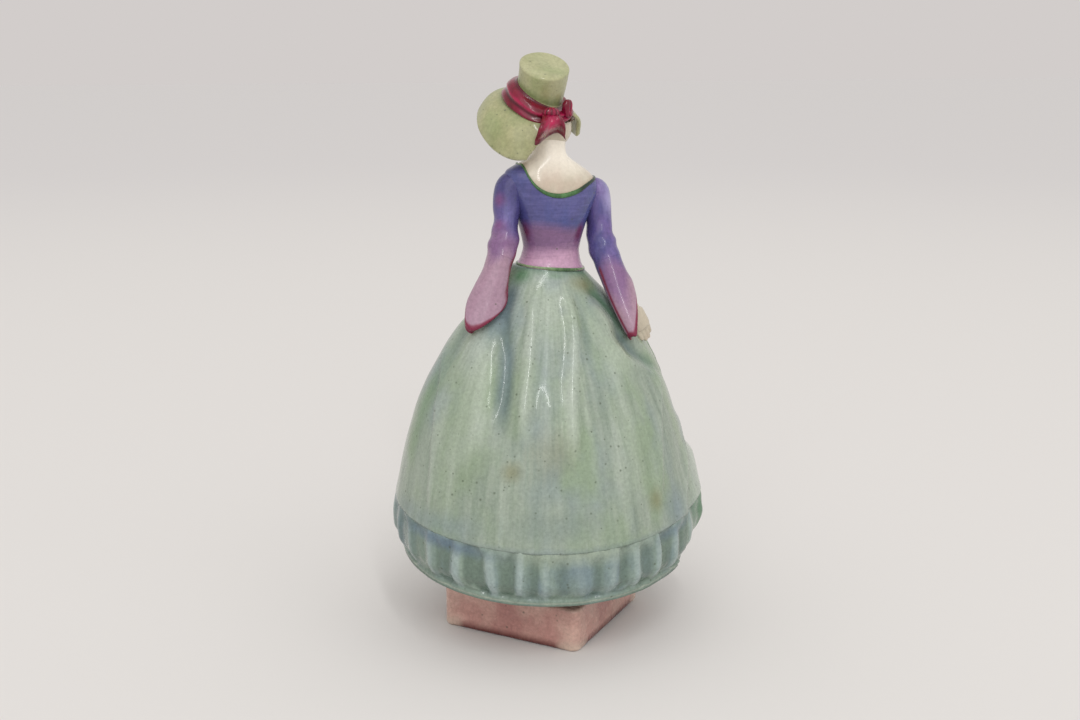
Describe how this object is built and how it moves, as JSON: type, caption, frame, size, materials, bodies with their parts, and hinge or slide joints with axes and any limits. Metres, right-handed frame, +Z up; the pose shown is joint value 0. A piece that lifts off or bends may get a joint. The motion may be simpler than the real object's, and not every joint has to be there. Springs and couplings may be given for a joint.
{
  "type": "porcelain lady figurine",
  "caption": "Glazed porcelain lady in a ribboned poke bonnet and a wide frilled skirt, hollow below, on a square plinth set cornerwise.",
  "frame": {"origin": "middle of the plinth's flat underside", "axes": "+Z up from plinth to bonnet; the lady faces -Y, her left hand is towards +X; the plinth's corners lie on X and Y"},
  "size_m": [0.0535, 0.0472, 0.0951],
  "materials": {
    "plinth_pink": "dusty pink underglaze wash under clear glossy glaze, darker low down and pale at worn corners",
    "slipper_mauve": "mauve enamel under clear gloss",
    "underclothes_white": "plain white china body under clear glossy glaze",
    "skirt_sage": "brushed sage green wash with blue-grey streaks and small dark specks under clear glossy glaze",
    "frill_blue": "bluer sage wash pooling in the pleats under clear glossy glaze",
    "trim_green": "deep green brushed line under clear gloss",
    "bodice_violet": "blue-violet fading down to mauve pink, brushed under clear glossy glaze",
    "sleeve_violet": "blue-violet with mauve patches, brushed under clear glossy glaze",
    "cuff_mauve": "mauve pink with a crimson edge line under clear glossy glaze",
    "skin_cream": "bare cream china body under clear glossy glaze",
    "hair_brown": "brown brushed glaze",
    "bonnet_straw": "straw yellow-green wash with fine dark specks, satin to glossy",
    "ribbon_crimson": "crimson enamel, darker in the folds, glossy"
  },
  "bodies": {
    "root": {"plinth": "plinth_pink", "left_shoe": "slipper_mauve", "right_shoe": "slipper_mauve", "left_leg": "underclothes_white", "right_leg": "underclothes_white", "left_pantalette": "underclothes_white", "right_pantalette": "underclothes_white", "petticoat": "underclothes_white", "skirt": "skirt_sage", "skirt_frill": "frill_blue", "waistband": "trim_green", "bodice": "bodice_violet", "neckline_trim": "trim_green", "neck_and_bust": "skin_cream", "left_sleeve": "sleeve_violet", "right_sleeve": "sleeve_violet", "left_cuff": "cuff_mauve", "right_cuff": "cuff_mauve", "left_hand": "skin_cream", "right_hand": "skin_cream", "head": "skin_cream", "hair": "hair_brown", "bonnet_crown": "bonnet_straw", "bonnet_brim": "bonnet_straw", "hat_ribbon": "ribbon_crimson", "ribbon_bow": "ribbon_crimson", "ribbon_loop": "ribbon_crimson"}
  },
  "joints": []
}
